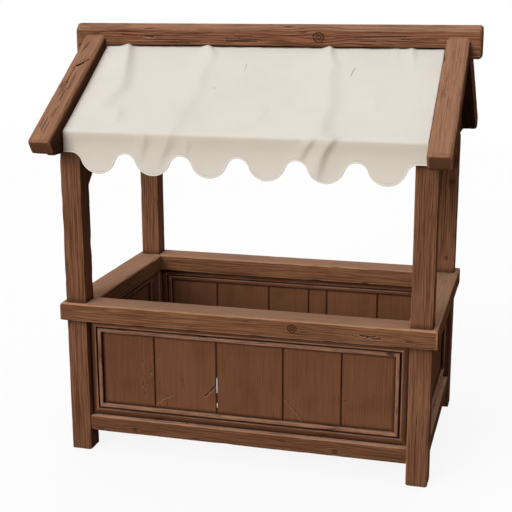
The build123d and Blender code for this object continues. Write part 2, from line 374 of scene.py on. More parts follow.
def timber_finish(name, deep, light, worn, lit_and_bleached, lit_and_bleach_share=0.55, contrast=1.0, checks=0.5, smoothed=0.0):
    """Stained timber with a streaky figure, dark checks, pale worn arrises, painted shade and painted
    highlights, smoothed on top, and lighter on upward faces as painted light and sun bleaching.
    """
    material, tree, shader = new_material(name)
    upward = component(tree, add_node(tree, "ShaderNodeTexCoord").outputs["Normal"], "Z")
    long_grain = calculate(tree, "SUBTRACT", 1.0, attribute(tree, "end", "Fac"))
    rough_sawn = ramp(tree, upward, 0.35, 0.95, 1.0, 1.0 - smoothed)
    long_grain = calculate(tree, "MULTIPLY", long_grain, rough_sawn)
    grain = attribute(tree, "grain", "Vector")
    figure = add_node(tree, "ShaderNodeGroup", {
        "Grain": grain,
        "Knot A": attribute(tree, "knot_a", "Vector"),
        "Knot B": attribute(tree, "knot_b", "Vector"),
        "Contrast": calculate(tree, "MULTIPLY", long_grain, contrast),
        "Checks": calculate(tree, "MULTIPLY_ADD", long_grain, checks + 2.0, -2.0),
    }, node_tree=timber_figure).outputs
    # Pale worn arrises; on the mouldings this mask also carries painted highlights on the bead and strip
    rubbed = add_node(tree, "ShaderNodeGroup", {"Grain": grain, "Arris": attribute(tree, "arris", "Fac")},
                      node_tree=worn_arris).outputs["Mask"]
    wood = blended(tree, figure["Tone"], colour(deep), colour(light))
    shade = calculate(tree, "MULTIPLY_ADD", attribute(tree, "tone", "Fac"), 0.14, 0.93)
    shade = add_node(tree, "ShaderNodeCombineColor", dict.fromkeys(range(3), shade)).outputs[0]
    wood = blended(tree, 1.0, wood, shade, "MULTIPLY")
    # Upward faces made lighter: painted light from above, partly sun bleaching
    lit_and_faded = calculate(tree, "MULTIPLY", ramp(tree, upward, 0.35, 0.95), lit_and_bleach_share)
    lit_and_faded = calculate(tree, "MULTIPLY", lit_and_faded, calculate(tree, "MULTIPLY_ADD", figure["Tone"], 0.8, 0.6),
                      clamp=True)
    lip = calculate(tree, "MULTIPLY", figure["Lip"], 0.40)
    # Painted shade in corners, grooves and seams, with dark end grain and blotches, laid on in the dark
    # colour
    soiled = calculate(tree, "MULTIPLY", attribute(tree, "soil", "Fac"), 0.88)
    dark = calculate(tree, "MULTIPLY", figure["Dark"], 0.85)
    wood = layered(tree, wood, (lit_and_faded, lit_and_bleached), (rubbed, worn), (lip, worn), (soiled, dark_marks_and_shade),
                   (dark, dark_marks_and_shade))
    rough = calculate(tree, "MULTIPLY_ADD", figure["Tone"], 0.14, 0.70)
    bump = add_node(tree, "ShaderNodeBump", {"Height": figure["Height"], "Strength": 0.7, "Distance": 0.003})
    tree.links.new(wood, shader.inputs["Base Color"])
    tree.links.new(rough, shader.inputs["Roughness"])
    tree.links.new(bump.outputs["Normal"], shader.inputs["Normal"])
    shader.inputs["Specular IOR Level"].default_value = 0.0
    return material


def post_soil(place):
    """Painted shade on a post just over and under the counter, where the two meet."""
    def soil(co):
        height = (place @ co).z
        gap = max(counter_underside - height, height - counter_surface)
        return post_shade_share * max(0.0, 1 - max(0.0, gap) / post_shade_reach)
    return soil


post_finish = timber_finish("post_stain", deep="4B2D1B", light="865D46", worn="9E6A4A", lit_and_bleached="A87C62",
                            contrast=1.05, checks=0.1)
for post in ("post_front_left", "post_front_right", "post_back_left", "post_back_right"):
    low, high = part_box(post)
    size = high - low
    timber = prism(rectangle(size.z, size.x), size.y)
    ease_arrises(timber, post_arris)
    place = axes((0, 0, 1), (0, -1, 0), (low + high) / 2)
    set_timber(timber, post_cells, place, post, post_finish, "post_timber", wear=0.0055, bow=0.0012,
               knots=post_knots.get(post, ()), soil=post_soil(place))

# Bottom rails
# Square rails of the same pine, housed between the posts a hand above the ground and set a
# little behind the post faces. They carry the panels.

rail_arris = 0.006
rail_cells = (0.022, 0.0125)
rail_knots = {"front": [(-0.684, -0.69, 0.160), (0.561, -0.69, 0.158)]}
stall_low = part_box("post_front_left")[0]
stall_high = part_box("post_back_right")[1]
stall_width = stall_high.x - stall_low.x
stall_depth = stall_high.y - stall_low.y
post_size = size.x
sides = ("front", "right", "back", "left")


def side_length(side):
    """Length of a side over its two posts."""
    return stall_depth if side in ("right", "left") else stall_width


def side_place(side):
    """Placement of a side: X along it, Y inwards from the post faces, Z up."""
    opposite = stall_width if side in ("right", "left") else stall_depth
    return Matrix.Rotation(sides.index(side) * pi / 2, 4, "Z") @ Matrix.Translation((0, -opposite / 2, 0))


rail_low, rail_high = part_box("bottom_rail_front")
rail_depth = rail_high.y - rail_low.y
rail_height = rail_high.z - rail_low.z
rail_middle = (rail_high.z + rail_low.z) / 2
rail_finish = timber_finish("rail_stain", deep="4A2C1B", light="805840", worn="A67A5E", lit_and_bleached="BC927A",
                            lit_and_bleach_share=0.75, checks=0.3)
for side in sides:
    timber = prism(rectangle(side_length(side) - 2 * post_size, rail_depth), rail_height)
    ease_arrises(timber, rail_arris)
    place = side_place(side) @ Matrix.Translation((0, post_size / 2, rail_middle))
    set_timber(timber, rail_cells, place, f"bottom_rail_{side}", rail_finish, "post_timber", wear=0.0045,
               bow=0.001, knots=rail_knots.get(side, ()))

# Panel frames
# Moulded frame round each panel: a sloping strip against the post, a groove and a round bead
# against the boards, planed on both faces and mitred at the corners.

strip_width = 0.044
groove_width = 0.010
bead_width = 0.024
bead_crown = 0.007
strip_edge_half = 0.014
strip_half = 0.027
groove_floor_half = 0.015
bead_shoulder_half = 0.025
frame_slot_depth = 0.014
board_half = 0.009
moulding_arris = 0.0016
# Painted shade on the moulding by the post, in the groove and beside the boards
strip_shade_reach = 0.028
moulding_cells = (0.030, 0.007)
seam_margin = 0.001
shade_rise = 0.004
# Painted highlight on the bead's crown and the strip's raised edge, laid on as pale worn arris
highlight_inset = 0.003
strip_highlight = 0.008
highlight_share = 0.95
mitre_gap = 0.0005
bead_steps = 8
panel_bottom = rail_high.z
panel_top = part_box("counter_front")[0].z
panel_height = panel_top - panel_bottom
panel_middle = (panel_top + panel_bottom) / 2
frame_width = strip_width + groove_width + bead_width


def moulding_section():
    """Outline of the frame's section: across from the post's side, and out from the middle."""
    groove_end = strip_width + groove_width
    face = [(0, strip_edge_half), (strip_width, strip_half), (strip_width, groove_floor_half),
            (groove_end, groove_floor_half)]
    for step in range(bead_steps + 1):
        turn = pi * step / bead_steps
        across = groove_end + bead_width / 2 * (1 - cos(turn))
        face.append((across, bead_shoulder_half + bead_crown * sin(turn)))
    slot = [(frame_width, board_half), (frame_width - frame_slot_depth, board_half)]
    half = face + slot
    return half + [(across, -out) for across, out in reversed(half)]


def groove_soil(co):
    """Painted shade at the outer edge of the moulding by the post, in its groove, and beside the boards."""
    out = abs(co.z)
    if co.y < strip_shade_reach:
        return 1 - co.y / strip_shade_reach
    if strip_width - seam_margin < co.y < strip_width + groove_width + seam_margin:
        return 1.0 if out < groove_floor_half + shade_rise else 0.4
    if co.y > frame_width - seam_margin:
        return 1.0 if out < board_half + shade_rise else 0.3
    return 0.0


def bead_highlight(co):
    """Painted highlight on the crown of the outer bead and on the strip's raised edge, on the outer face."""
    on_bead = co.y > strip_width + groove_width + highlight_inset and co.z > bead_shoulder_half + highlight_inset
    by_edge = strip_width - strip_highlight < co.y < strip_width + seam_margin
    on_strip = by_edge and co.z > strip_half - strip_highlight / 2
    return highlight_share if on_bead or on_strip else 0.0


lay_along = Matrix(((0, 0, 1, 0), (1, 0, 0, 0), (0, 1, 0, 0), (0, 0, 0, 1)))


def moulding(length):
    """One mitred member of a panel frame, its outer edge along X."""
    member = prism(moulding_section(), length)
    member.transform(lay_along)
    long_edges = [edge for edge in member.edges
                  if edge.calc_face_angle(0.0) > sharp_crease and edge.calc_length() > length / 2]
    ease_arrises(member, moulding_arris, long_edges, 2)
    for end in (-1, 1):
        saw(member, (end * (length / 2 - mitre_gap), 0, 0), (end, 1, 0))
    cut_into_cells(member, *moulding_cells)
    return member


# Its worn colour also paints the highlights on the bead and on the strip's raised edge
moulding_finish = timber_finish("moulding_stain", deep="4C2D1D", light="764E39", worn="A0755E",
                                lit_and_bleached="B8917A", lit_and_bleach_share=0.75, contrast=0.6)
section_up = Matrix(((1, 0, 0, 0), (0, 0, -1, 0), (0, 1, 0, 0), (0, 0, 0, 1)))
for side in sides:
    panel_width = side_length(side) - 2 * post_size
    panel_place = side_place(side) @ Matrix.Translation((0, post_size / 2, panel_middle))
    for part, first_turn, length, reach in (("rails", 0, panel_width, panel_height),
                                            ("stiles", 1, panel_height, panel_width)):
        members = []
        for turn in (first_turn, first_turn + 2):
            member = moulding(length)
            turned = Matrix.Rotation(turn * pi / 2, 4, "Y") @ Matrix.Translation((0, 0, -reach / 2))
            member_place = turned @ section_up
            weather(member, panel_place @ member_place, wear=0.0016, bow=0.0, soil=groove_soil, highlight=bead_highlight)
            member.transform(member_place)
            members.append(member)
        place_piece(members, panel_place, f"panel_{part}_{side}_moulding", moulding_finish,
                    f"panel_{part}_{side}")

# Boards
# Upright boards of each panel, of uneven width, with chamfered edges and loose tongues in
# their seams. One tongue at the front has broken out, and light comes through the seam there.

board_seams = {
    "front": (-0.563, -0.172, 0.236, 0.584),
    "back": (-0.588, -0.235, -0.106, 0.180, 0.560),
    "right": (-0.176, 0.171),
    "left": (-0.160, 0.182),
}
board_chamfer = 0.0050
board_gap = 0.0030
# Painted shade in the seams and beside the frame: its reach
seam_shade_reach = 0.003
frame_shade_reach = 0.020
board_blotches = 0.40
board_cells = (0.022, 0.020)
board_unevenness = 0.0006
slot_play = 0.001
tongue_width = 0.016
tongue_thickness = 0.005
open_seam = -0.172
open_stretches = ((0.436, 0.524), (0.340, 0.365))
open_setback = 0.0012
tongue_breaks = (0.336, 0.369, 0.430, 0.530)
panel_field_half = {side: side_length(side) / 2 - post_size - frame_width + frame_slot_depth - slot_play
                    for side in sides}
field_height = panel_height - 2 * (frame_width - frame_slot_depth) - 2 * slot_play


def make_scored_line():
    """A line scored across a board: a dark cut, and the pale lip of lifted wood beside it."""
    vector, value = "NodeSocketVector", "NodeSocketFloat"
    sockets = {"Point": vector, "Start": vector, "End": vector, "Width": value}
    tree, given, gives = new_group("scored_line", sockets, {"Cut": value, "Lip": value})
    run = vectors(tree, "SUBTRACT", given["End"], given["Start"])
    reach = vectors(tree, "SUBTRACT", given["Point"], given["Start"])
    along = calculate(tree, "DIVIDE", vectors(tree, "DOT_PRODUCT", reach, run, output="Value"),
                      vectors(tree, "DOT_PRODUCT", run, run, output="Value"), clamp=True)
    foot = scaled(tree, run, along)
    ragged = streaked_noise(tree, given["Point"], (90.0, 90.0, 90.0), 3.0)
    off_line = vectors(tree, "SUBTRACT", reach, foot)
    away = vectors(tree, "LENGTH", off_line, output="Value")
    ragged = calculate(tree, "MULTIPLY_ADD", ragged, 0.004, -0.002)
    away = calculate(tree, "DIVIDE", calculate(tree, "ADD", ragged, away), given["Width"])
    below = calculate(tree, "DIVIDE", component(tree, off_line, "Z"), given["Width"])
    low_side = ramp(tree, below, -1.2, 0.2, 1.0, 0.0)
    tree.links.new(ramp(tree, away, 0.6, 1.4, 1.0, 0.0), gives["Cut"])
    tree.links.new(calculate(tree, "MULTIPLY", ramp(tree, away, 1.2, 3.4, 1.0, 0.0), low_side), gives["Lip"])
    return tree


scored_line = make_scored_line()


def score(material, scratches, lip_colour, cut_colour, point):
    """Add scratches to a finish, each given as points, width, and how dark and pale it is."""
    tree = material.node_tree
    shader = tree.nodes["Principled BSDF"]
    surface = shader.inputs["Base Color"].links[0].from_socket
    for points, width, darkness, paleness in scratches:
        for start, end in zip(points, points[1:]):
            ends = {"Point": point, "Start": start, "End": end, "Width": width}
            line = add_node(tree, "ShaderNodeGroup", ends, node_tree=scored_line).outputs
            lip = calculate(tree, "MULTIPLY", line["Lip"], paleness)
            cut = calculate(tree, "MULTIPLY", line["Cut"], darkness)
            surface = layered(tree, surface, (lip, lip_colour), (cut, cut_colour))
    tree.links.new(surface, shader.inputs["Base Color"])


def score_wood(material, scratches):
    """Scratches and splits in a timber, placed in the stall's own frame."""
    point = add_node(material.node_tree, "ShaderNodeTexCoord").outputs["Object"]
    score(material, scratches, "A07A62", "22120B", point)


def on_face(y, *points):
    """Points (x, z) on an upright face that stands at y."""
    return [(x, y, z) for x, z in points]


board_face = stall_low.y + post_size / 2 - board_half
hair_scratches = 14
front_scratches = [
    (on_face(board_face, (-0.244, 0.409), (-0.212, 0.440), (-0.177, 0.483)), 0.0036, 1.00, 0.60),
    (on_face(board_face, (-0.566, 0.319), (-0.510, 0.365), (-0.448, 0.395)), 0.0024, 0.40, 0.75),
    (on_face(board_face, (0.247, 0.439), (0.292, 0.388), (0.341, 0.336), (0.359, 0.300)), 0.0024, 0.65, 0.60),
    (on_face(board_face, (0.595, 0.456), (0.619, 0.465)), 0.0026, 0.75, 0.40),
]
draw = Random(11)
for _ in range(hair_scratches):
    start = Vector((draw.uniform(-0.650, -0.535), board_face, draw.uniform(0.34, 0.62)))
    middle = start + Vector((draw.uniform(-0.012, 0.012), 0, draw.uniform(0.015, 0.040)))
    end = middle + Vector((draw.uniform(-0.012, 0.012), 0, draw.uniform(0.015, 0.040)))
    front_scratches.append(((start, middle, end), 0.0020, 0.38, 0.45))
board_colours = {"deep": "583826", "light": "7F543C", "worn": "855A41", "lit_and_bleached": "8E664E",
                 "contrast": 0.32, "checks": -0.4}
board_finish = timber_finish("board_stain", **board_colours)
front_board_finish = timber_finish("front_board_stain", **board_colours)
score_wood(front_board_finish, front_scratches)


def slice_borders(board, half_width):
    """Slices beside a board's edges and ends, so that the painted shade there has a clear border."""
    dirt_inset = board_chamfer + seam_shade_reach
    for end in (-1, 1):
        saw(board, (0, end * (half_width - dirt_inset), 0), (0, 1, 0), fill=False)
    for inset in (frame_slot_depth, frame_slot_depth + frame_shade_reach / 2, frame_slot_depth + frame_shade_reach):
        for end in (-1, 1):
            saw(board, (end * (field_height / 2 - inset), 0, 0), (1, 0, 0), fill=False)


def board_soil(half_width, framed):
    """Painted shade along a board's chamfers and where its ends and framed edges meet the moulding, and
    random dark blotches.
    """
    def soil(co):
        from_edge = max(0.0, half_width - abs(co.y) - board_chamfer / 2)
        along_edge = 1 - from_edge / (board_chamfer / 2 + seam_shade_reach)
        from_frame = field_height / 2 - frame_slot_depth - abs(co.x)
        for side_sign in framed:
            from_frame = min(from_frame, half_width - frame_slot_depth - side_sign * co.y)
        by_frame = 1 - max(0.0, from_frame) / frame_shade_reach
        blotch = noise.noise(Vector((co.x * 7, co.y * 11, half_width * 60))) - 0.05
        return max(0.0, along_edge, by_frame * 0.9, blotch * board_blotches)
    return soil


def open_up(board, board_place, edge_sign, half_width):
    """Set back one edge of a board where the tongue in its seam has broken out."""
    for vert in board.verts:
        height = (board_place @ vert.co).z
        by_edge = vert.co.y * edge_sign > half_width - 2 * board_chamfer
        for low_end, high_end in open_stretches:
            if by_edge and low_end < height < high_end:
                vert.co.y -= edge_sign * open_setback


for side in sides:
    panel_place = side_place(side) @ Matrix.Translation((0, post_size / 2, panel_middle))
    edges = (-panel_field_half[side], *board_seams[side], panel_field_half[side])
    draw = Random(len(edges))
    pieces = []
    for left_edge, right_edge in zip(edges, edges[1:]):
        board_width = right_edge - left_edge - board_gap
        half_width = board_width / 2
        board = prism(rectangle(field_height, board_width), 2 * board_half - slot_play)
        long_edges = [edge for edge in board.edges if edge.calc_length() > field_height - board_gap]
        ease_arrises(board, board_chamfer, long_edges, 1)
        framed = [sign for sign, edge in ((1, edges[0]), (-1, edges[-1])) if edge in (left_edge, right_edge)]
        slice_borders(board, half_width)
        for side_sign in framed:
            for inset in (frame_slot_depth, frame_slot_depth + frame_shade_reach):
                saw(board, (0, side_sign * (half_width - inset), 0), (0, 1, 0), fill=False)
        cut_into_cells(board, *board_cells)
        uneven = draw.uniform(-board_unevenness, board_unevenness)
        board_place = axes((0, 0, 1), (0, -1, 0), ((left_edge + right_edge) / 2, uneven, 0))
        in_stall = panel_place @ board_place
        weather(board, in_stall, wear=0.0016, bow=0.0006, soil=board_soil(half_width, framed))
        for seam, edge_sign in ((left_edge, 1), (right_edge, -1)):
            if side == "front" and seam == open_seam:
                open_up(board, in_stall, edge_sign, half_width)
        board.transform(board_place)
        pieces.append(board)
    for seam in board_seams[side]:
        ends = [panel_bottom + frame_width / 2, panel_top - frame_width / 2]
        if side == "front" and seam == open_seam:
            ends[1:1] = tongue_breaks
        for low_end, high_end in zip(ends[::2], ends[1::2]):
            tongue = prism(rectangle(high_end - low_end, tongue_width), tongue_thickness)
            cut_into_cells(tongue, board_cells[0], tongue_width / 2)
            tongue_place = axes((0, 0, 1), (0, -1, 0), (seam, 0, (low_end + high_end) / 2 - panel_middle))
            # The tongues are darkened all over: painted shade in the seams.
            weather(tongue, panel_place @ tongue_place, wear=0.0, bow=0.0, soil=lambda co: 1.0)
            tongue.transform(tongue_place)
            pieces.append(tongue)
    finish = front_board_finish if side == "front" else board_finish
    node = f"panel_boards_{side}"
    place_piece(pieces, panel_place, f"{node}_planks", finish, node)

# Counter
# Four heavy boards in a ring on top of the panels, mitred at the corners and notched round
# the posts. Their long edges are rounded, knocked and rubbed pale by years of trade, their tops are
# rubbed smooth, and the front one has split near its right end.

counter_arris = 0.010
mitre_arris = 0.0028
counter_cells = (0.018, 0.0125)
counter_knots = {
    "front": [(0.309, -0.73, 0.902)],
    "back": [(-0.35, 0.73, 0.905), (0.42, 0.73, 0.890)],
}
counter_nicks = ((-0.305, -0.73, 0.945), (0.52, -0.73, 0.845), (-0.80, -0.73, 0.945), (0.06, 0.55, 0.945))
nick_length = 0.030
nick_depth = 0.008
nick_stretch = 0.6
counter_low, counter_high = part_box("counter_front")
counter_overhang = stall_low.y - counter_low.y
counter_width = counter_high.y - counter_low.y
counter_thickness = counter_high.z - counter_low.z
counter_middle = (counter_high.z + counter_low.z) / 2
counter_finish = timber_finish("counter_stain", deep="4A2C1A", light="895F44", worn="AE8062",
                               lit_and_bleached="BE957A", lit_and_bleach_share=0.62, checks=0.35, smoothed=0.5)
counter_splits = (
    (on_face(counter_low.y, (0.700, 0.896), (0.742, 0.893), (0.768, 0.882), (0.815, 0.884)),
     0.0042, 0.90, 0.60),
    (on_face(counter_low.y, (0.728, 0.880), (0.756, 0.891), (0.790, 0.898)), 0.0034, 0.80, 0.50),
    (on_face(counter_low.y, (0.655, 0.890), (0.715, 0.884)), 0.0022, 0.60, 0.40),
)
score_wood(counter_finish, counter_splits)


def counter_outline(length):
    """Plan of a counter board, from its outer edge round the notches to its inner edge."""
    half = length / 2
    inner_y = counter_width - counter_overhang
    right = [(half + counter_overhang, -counter_overhang), (half, 0), (half - post_size, 0),
             (half - post_size, post_size), (half + counter_overhang - counter_width, inner_y)]
    return right + [(-x, y) for x, y in reversed(right)]


def knock_nicks(solid, place, nicks):
    """Press small dents into a timber where it has been knocked."""
    to_timber = place.inverted()
    solid.normal_update()
    for nick in nicks:
        centre = to_timber @ Vector(nick)
        for vert in solid.verts:
            away = vert.co - centre
            away.x *= nick_stretch
            if away.length < nick_length:
                vert.co -= vert.normal * nick_depth * (1 - away.length / nick_length)


def lies_level(edge):
    """Whether both ends of an edge are at one height in its timber."""
    return abs(edge.verts[0].co.z - edge.verts[1].co.z) < hair


for side in sides:
    length = side_length(side)
    timber = prism(counter_outline(length), counter_thickness)
    long_edges = [edge for edge in timber.edges
                  if edge.calc_length() > length - 2 * counter_width and lies_level(edge)]
    ease_arrises(timber, counter_arris, long_edges)
    corner_start = length / 2 - post_size * 1.5
    mitres = [edge for edge in timber.edges
              if edge.calc_face_angle(0.0) > sharp_crease and abs(edge.verts[0].co.x) > corner_start]
    ease_arrises(timber, mitre_arris, mitres, 1)
    cut_into_cells(timber, *counter_cells)
    place = side_place(side) @ Matrix.Translation((0, 0, counter_middle))
    weather(timber, place, wear=0.0035, bow=0.0010, knots=counter_knots.get(side, ()), knot_size=1.85)
    knock_nicks(timber, place, counter_nicks)
    node = f"counter_{side}"
    place_piece([timber], place, f"{node}_timber", counter_finish, node)

# Tie beams and knee braces
# A tie beam lies along each end on the posts, with a narrow nose under each rafter's tail. Four
# braces stiffen it, cut at forty-five degrees to the post and to the beam.

tie_arris = 0.008
roof_pitch = radians(32.6)
roof_cells = (0.022, 0.0135)
rafter_low, rafter_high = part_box("rafter_front_right")
rail_back_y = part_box("eave_rail_front")[1].y
tie_shoulder_gap = 0.004
tie_nose_height = 0.010
# Painted shade on the tie beams' noses, under the rafters' tails
nose_shade_share = 0.7
brace_depth = 0.090
roof_finish = timber_finish("roof_stain", deep="4A2B1A", light="855B43", worn="9C6E54", lit_and_bleached="A27A61",
                            lit_and_bleach_share=0.6, contrast=0.8, checks=0.0)
ridge_finish = timber_finish("ridge_stain", deep="48291A", light="94664C", worn="A87C62", lit_and_bleached="B0876F",
                             contrast=1.3)
brace_finish = timber_finish("brace_stain", deep="4A2A18", light="784E36", worn="8E5C42", lit_and_bleached="8A6550")
root_two = 2 ** 0.5
tie_low, tie_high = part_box("tie_beam_right")
tie_height = tie_high.z - tie_low.z
rafter_tail = Vector((0, tie_low.y - tie_nose_height / tan(roof_pitch), tie_low.z))
shoulder_y = -rail_back_y - tie_shoulder_gap
middle_x = (tie_low.x + tie_high.x) / 2
inner_x, nose_x, outer_x = tie_low.x - middle_x, rafter_low.x - middle_x, tie_high.x - middle_x


def nose_soil(co):
    """Painted shade on the noses, under the rafters' tails."""
    return nose_shade_share if abs(co.x) > shoulder_y else 0.0


for side_name, x_sign in (("left", -1), ("right", 1)):
    plan = [(tie_high.y, nose_x), (tie_high.y, outer_x), (-tie_high.y, outer_x), (-tie_high.y, nose_x),
            (-shoulder_y, nose_x), (-shoulder_y, inner_x), (shoulder_y, inner_x), (shoulder_y, nose_x)]
    timber = prism([(along, across * -x_sign) for along, across in plan], tie_height)
    for end in (-1, 1):
        saw(timber, (end * rafter_tail.y, 0, -tie_height / 2), (-end * sin(roof_pitch), 0, cos(roof_pitch)))
    long_edges = [edge for edge in timber.edges if edge.calc_length() > 2 * shoulder_y - tie_arris]
    ease_arrises(timber, tie_arris, long_edges)
    place = axes((0, 1, 0), (0, 0, 1), (x_sign * middle_x, 0, (tie_low.z + tie_high.z) / 2))
    set_timber(timber, roof_cells, place, f"tie_beam_{side_name}", brace_finish, "post_timber", bow=0.0,
               soil=nose_soil)
    for end_name, y_sign in (("front", -1), ("back", 1)):
        node = f"knee_brace_{end_name}_{side_name}"
        brace_low, brace_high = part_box(node)
        drop = (brace_high.z - brace_low.z) / 2
        step = brace_depth * root_two
        outline = [(-drop, -drop), (drop, drop), (drop - step, drop), (-drop, step - drop)]
        turned = [((a + b) / root_two, (b - a) / root_two) for a, b in outline]
        timber = prism(turned, brace_high.x - brace_low.x)
        long_edges = [edge for edge in timber.edges
                      if edge.calc_length() > brace_depth * 1.6 and lies_level(edge)]
        ease_arrises(timber, tie_arris, long_edges)
        place = axes((0, -y_sign, 1), (-y_sign, 0, 0), (brace_low + brace_high) / 2)
        set_timber(timber, roof_cells, place, node, brace_finish, "post_timber", bow=0.0)

# Rafters
# Two pairs of stout rafters with rounded arrises, cut square at the tail and plumb against the
# ridge beam. They sit over the tie beams' noses, stand proud of the canvas and have begun to check.

rafter_arris = 0.021
end_grain = 0.012
tail_dirt = 0.30
# Painted shade on a rafter's side by the canvas and on its underside
canvas_side_shade = 0.70
underside_shade = 0.85
rafter_depth = 0.103
ridge_face_y = rafter_high.y
rafter_run = ridge_face_y - rafter_tail.y
rafter_length = rafter_run / cos(roof_pitch) + rafter_depth * tan(roof_pitch)


def rafter_soil(inner_y):
    """Dark end grain at a rafter's tail, and painted shade on its underside and on the side where the canvas
    lies against it.
    """
    def soil(co):
        on_inner_side = co.y * inner_y > 0.98 * inner_y ** 2
        if on_inner_side and co.z < rafter_depth - rafter_arris:
            return canvas_side_shade
        if co.z < rafter_arris / 2:
            return underside_shade
        return tail_dirt * max(0.0, 1 - co.x / end_grain)
    return soil


def rafter_top(x, along):
    """Point on the upper face of a front rafter, at a distance up from its tail."""
    return (x, rafter_tail.y + along * cos(roof_pitch) - rafter_depth * sin(roof_pitch),
            rafter_tail.z + along * sin(roof_pitch) + rafter_depth * cos(roof_pitch))


# Cracks of the front left rafter: two points (x, distance up), width, and how dark and pale each is
rafter_cracks = (
    ((-1.150, 0.690), (-1.128, 0.712), 0.0042, 0.90, 0.2),
    ((-1.128, 0.712), (-1.104, 0.736), 0.0090, 1.00, 0.4),
    ((-1.104, 0.736), (-1.078, 0.776), 0.0048, 0.95, 0.3),
    ((-1.119, 0.690), (-1.122, 0.785), 0.0018, 0.60, 0.2),
    ((-1.105, 0.728), (-1.108, 0.810), 0.0018, 0.60, 0.2),
    ((-1.136, 0.672), (-1.139, 0.735), 0.0018, 0.55, 0.2),
)
# Checks of the front rafters in groups: side, x from and to, distance up from and to, number, darkness
rafter_checks = (
    (-1, 1.105, 1.165, 0.36, 0.56, 11, 0.75),
    (-1, 1.110, 1.160, 0.08, 0.22, 6, 0.75),
    (1, 1.075, 1.165, 0.62, 0.84, 8, 0.35),
    (1, 1.080, 1.140, 0.36, 0.56, 7, 0.35),
)
even_scatter = 0.618
check_lip = 0.25
rafter_splits = [((rafter_top(*start), rafter_top(*end)), width, darkness, paleness)
                 for start, end, width, darkness, paleness in rafter_cracks]
draw = Random(5)
for x_sign, near_x, far_x, first, last, strokes, darkness in rafter_checks:
    for stroke in range(strokes):
        x = x_sign * (near_x + (far_x - near_x) * ((stroke * even_scatter) % 1.0))
        along = first + (last - first) * draw.random()
        skew = draw.uniform(-0.004, 0.004)
        ends = (rafter_top(x, along), rafter_top(x + skew, along + draw.uniform(0.06, 0.13)))
        rafter_splits.append((ends, 0.0022, darkness, check_lip))
score_wood(roof_finish, rafter_splits)
for end_name, y_sign in (("front", -1), ("back", 1)):
    for side_name, x_sign in (("left", -1), ("right", 1)):
        node = f"rafter_{end_name}_{side_name}"
        low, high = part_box(node)
        timber = prism(rectangle(rafter_length, high.x - low.x), rafter_depth)
        bmesh.ops.translate(timber, verts=timber.verts, vec=(rafter_length / 2, 0, rafter_depth / 2))
        worn_edges = [edge for edge in timber.edges if min(vert.co.x for vert in edge.verts) < hair]
        ease_arrises(timber, rafter_arris, worn_edges)
        up_slope = Vector((0, -y_sign * cos(roof_pitch), sin(roof_pitch)))
        face = Vector((0, y_sign * sin(roof_pitch), cos(roof_pitch)))
        tail = Vector(((low.x + high.x) / 2, -y_sign * rafter_tail.y, rafter_tail.z))
        place = axes(up_slope, face, tail)
        to_timber = place.inverted()
        ridge_point = to_timber @ Vector((tail.x, -y_sign * ridge_face_y, tail.z))
        saw(timber, ridge_point, to_timber.to_3x3() @ Vector((0, -y_sign, 0)))
        set_timber(timber, roof_cells, place, node, roof_finish, "roof_timber", bow=0.0012,
                   soil=rafter_soil(-y_sign * x_sign * (high.x - low.x) / 2))

# Ridge beam
# One deep beam between the rafters' heads, with wide chamfers along its upper edges and a groove in
# each face that takes the top of the canvas. It is the most weathered timber, with shakes and a knot.

ridge_chamfer = 0.038
ridge_bevel = 0.016
ridge_easing = 0.006
ridge_cells = (0.018, 0.0125)
square_crease = radians(60)
groove_below_canvas = 0.009
groove_above_canvas = 0.014
groove_depth = 0.016
groove_end_room = 0.003
# Painted shade in the groove and on its edges
groove_edge_shade = 0.6
ridge_knots = [(0.304, -0.065, 2.501)]
ridge_low, ridge_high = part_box("ridge_beam")
ridge_size = ridge_high - ridge_low
ridge_middle = (ridge_low + ridge_high) / 2
valance_low, valance_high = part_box("valance_front")
canvas_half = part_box("canopy_front")[1].x
canvas_line = valance_high.z + (ridge_low.y - valance_low.y) * tan(roof_pitch) - ridge_middle.z
groove_low = canvas_line - groove_below_canvas
groove_high = canvas_line + groove_above_canvas


def ridge_soil(co):
    """Painted shade in the groove, where the canvas goes in."""
    at_height = groove_low - seam_margin < co.z < groove_high + seam_margin
    if not at_height or abs(co.x) >= canvas_half + groove_end_room:
        return 0.0
    return 1.0 if abs(co.y) < ridge_size.y / 2 - 2 * seam_margin else groove_edge_shade


ridge_splits = [(on_face(ridge_low.y, (-0.79, 2.503), (-0.765, 2.500), (-0.735, 2.497)), 0.0045, 1.0, 0.7)]
# Shakes of the beam's front in groups: x from and to, height from and to, number
ridge_shakes = (
    (-0.31, -0.16, 2.472, 2.508, 7),
    (0.38, 0.72, 2.462, 2.510, 8),
    (-1.0, -0.4, 2.460, 2.520, 6),
    (0.76, 0.92, 2.480, 2.515, 4),
)
draw = Random(3)
for first, last, low_z, high_z, strokes in ridge_shakes:
    for _ in range(strokes):
        start = Vector((draw.uniform(first, last), ridge_low.y, draw.uniform(low_z, high_z)))
        end = start + Vector((draw.uniform(0.06, 0.16), 0, draw.uniform(-0.004, 0.004)))
        ridge_splits.append(((start, end), 0.0026, 0.75, check_lip))
score_wood(ridge_finish, ridge_splits)
timber = prism(rectangle(ridge_size.x, ridge_size.y), ridge_size.z)
upper_edges = [edge for edge in timber.edges
               if edge.calc_length() > ridge_size.x - ridge_bevel and edge.verts[0].co.z > 0]
ease_arrises(timber, ridge_chamfer, upper_edges, 1)
square_edges = [edge for edge in timber.edges if edge.calc_face_angle(0.0) > square_crease]
ease_arrises(timber, ridge_bevel, square_edges, 2)
ease_arrises(timber, ridge_easing, segments=2)
for height in (groove_low, groove_high):
    saw(timber, (0, 0, height), (0, 0, 1), fill=False)
for end in (-1, 1):
    saw(timber, (end * (canvas_half + groove_end_room), 0, 0), (1, 0, 0), fill=False)
timber.normal_update()
